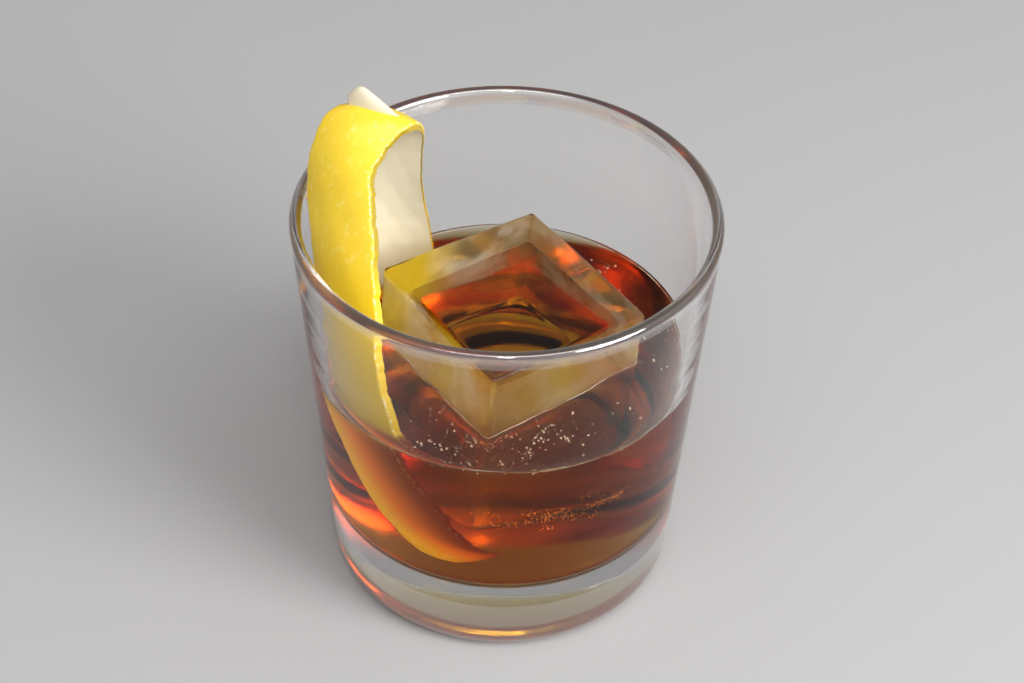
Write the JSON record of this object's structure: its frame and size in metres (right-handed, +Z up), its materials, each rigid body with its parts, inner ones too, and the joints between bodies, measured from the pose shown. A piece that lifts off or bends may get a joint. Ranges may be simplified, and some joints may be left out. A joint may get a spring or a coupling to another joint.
{
  "type": "old fashioned cocktail",
  "caption": "Amber old fashioned cocktail in a heavy tapered tumbler, with a clear block of ice standing out of the drink and a folded strip of lemon peel.",
  "frame": {"origin": "middle of the foot, on the table, on the glass's axis", "axes": "+Z up along the glass's axis, -Y towards the front, -X towards the side the peel leans on"},
  "size_m": [0.0888, 0.0888, 0.1128],
  "materials": {
    "glass": "clear fire-polished pressed glass with faint ripples in the wall",
    "drink": "clear dark amber to red-brown spirit, with a few small bubbles at the surface",
    "ice": "clear ice with slightly melted edges and a few fine cracks",
    "lemon_peel": "pored glossy yellow zest outside, matt cream pith inside and at the cut edges"
  },
  "bodies": {
    "root": {"glass": "glass", "drink": "drink", "ice_block": "ice", "lemon_peel": "lemon_peel"}
  },
  "joints": []
}
